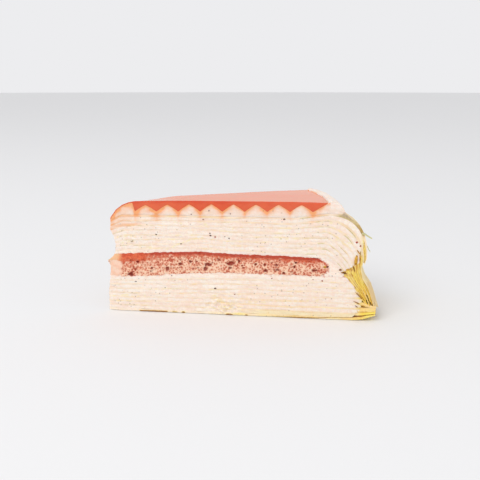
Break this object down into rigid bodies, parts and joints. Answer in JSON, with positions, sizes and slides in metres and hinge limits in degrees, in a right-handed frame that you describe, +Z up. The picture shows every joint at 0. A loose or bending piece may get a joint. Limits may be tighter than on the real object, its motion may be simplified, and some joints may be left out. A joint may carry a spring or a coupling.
{
  "type": "crepe cake slice",
  "caption": "Wedge slice of a tall crepe cake: thin crepes stacked with cream, a pink sponge layer in the middle, combed cream under a red berry jelly glaze, and crepe edges draped at the rim.",
  "frame": {"origin": "middle of the slice's footprint, on the surface that it stands on", "axes": "+X from the pointed tip to the rim of the cake, +Y across the slice, +Z up"},
  "size_m": [0.1158, 0.046, 0.0508],
  "materials": {
    "cream": "soft whipped cream, satin",
    "crepe": "pale cooked batter, matte",
    "rim_crepe": "yellow crepe with browned edges, matte",
    "browned_crepe": "browned crepe, matte",
    "sponge": "open pink crumb",
    "berry_jam": "moist berry jam",
    "jelly": "clear red jelly, glossy"
  },
  "bodies": {
    "root": {"bottom_crepe": "browned_crepe", "lower_cream_1": "cream", "lower_cream_2": "cream", "lower_cream_3": "cream", "lower_cream_4": "cream", "lower_cream_5": "cream", "lower_cream_6": "cream", "lower_cream_7": "cream", "lower_cream_8": "cream", "lower_crepe_1": "crepe", "lower_crepe_2": "crepe", "lower_crepe_3": "crepe", "lower_crepe_4": "crepe", "lower_crepe_5": "crepe", "lower_crepe_6": "crepe", "lower_crepe_7": "crepe", "sponge": "sponge", "berry_jam": "berry_jam", "rim_cream": "cream", "upper_cream_1": "cream", "upper_cream_2": "cream", "upper_cream_3": "cream", "upper_cream_4": "cream", "upper_cream_5": "cream", "upper_cream_6": "cream", "upper_cream_7": "cream", "upper_cream_8": "cream", "upper_crepe_1": "crepe", "upper_crepe_2": "crepe", "upper_crepe_3": "crepe", "upper_crepe_4": "crepe", "upper_crepe_5": "crepe", "upper_crepe_6": "crepe", "upper_crepe_7": "rim_crepe", "upper_crepe_8": "rim_crepe", "jelly": "jelly", "combed_cream": "cream"}
  },
  "joints": []
}
